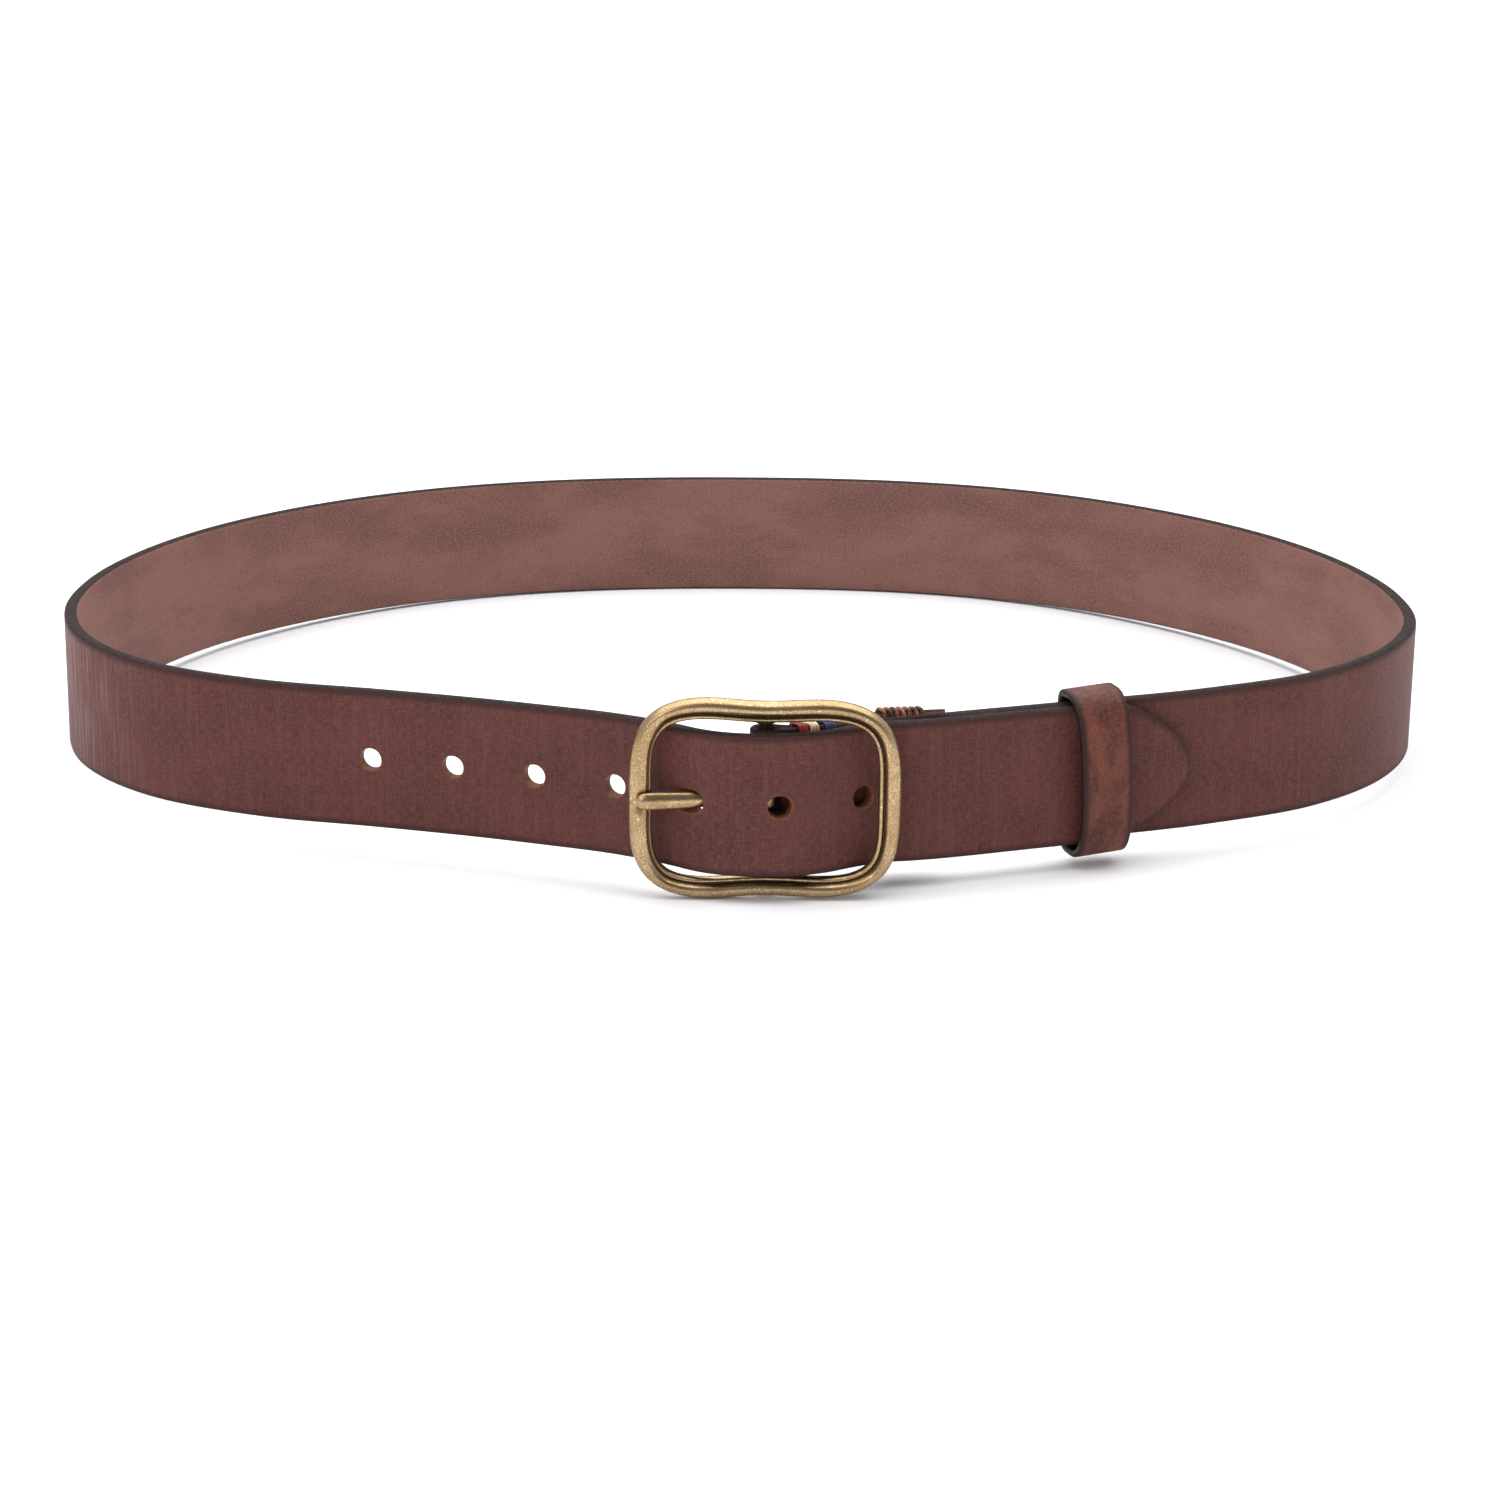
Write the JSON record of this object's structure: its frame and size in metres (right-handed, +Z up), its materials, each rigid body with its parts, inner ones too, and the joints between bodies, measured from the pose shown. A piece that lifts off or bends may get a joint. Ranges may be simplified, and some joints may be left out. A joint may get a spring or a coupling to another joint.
{
  "type": "leather belt",
  "caption": "Brown single-ply leather waist belt, fastened, with a brass centre-bar buckle, a prong and a leather keeper loop.",
  "frame": {"origin": "centre of the belt's box, on the surface that it stands on", "axes": "+X to the wearer's left, along the buckle's length; +Y from the buckle to the back of the belt; +Z up, across the strap's width"},
  "size_m": [0.3986, 0.3124, 0.0549],
  "materials": {
    "strap_leather": "satin grain, dark burnished edges",
    "keeper_leather": "satin grain, dark dyed edges",
    "brass": "satin antique brass",
    "staple_steel": "drawn wire",
    "red_thread": "waxed thread",
    "cream_thread": "waxed thread",
    "navy_thread": "waxed thread",
    "tan_lace": "matt braided lace"
  },
  "bodies": {
    "belt": {"strap": "strap_leather", "red_whipping_top": "red_thread", "red_whipping_bottom": "red_thread", "cream_whipping_top": "cream_thread", "cream_whipping_bottom": "cream_thread", "navy_whipping_top": "navy_thread", "navy_whipping_bottom": "navy_thread", "flap_lacing_top": "tan_lace", "flap_lacing_bottom": "tan_lace"},
    "buckle": {"buckle_frame": "brass", "centre_bar": "brass"},
    "tongue": {"prong": "brass"},
    "keeper": {"keeper_loop": "keeper_leather", "keeper_staple_front": "staple_steel", "keeper_staple_rear": "staple_steel"}
  },
  "joints": [
    {"name": "buckle_rock", "type": "hinge", "parent": "belt", "child": "buckle", "pos_m": [0.00689, -0.14686, 0.02689], "axis": [0, 0.0248, 0.9997], "range_deg": [-2, 1.5]},
    {"name": "prong_lift", "type": "hinge", "parent": "buckle", "child": "tongue", "pos_m": [0.00689, -0.14686, 0.02689], "axis": [0, 0.0248, 0.9997], "range_deg": [0, 2.5]},
    {"name": "keeper_slide", "type": "slide", "parent": "belt", "child": "keeper", "axis": [0.9409, 0.3386, -0.0084], "range_m": [-0.028, 0.009]}
  ]
}
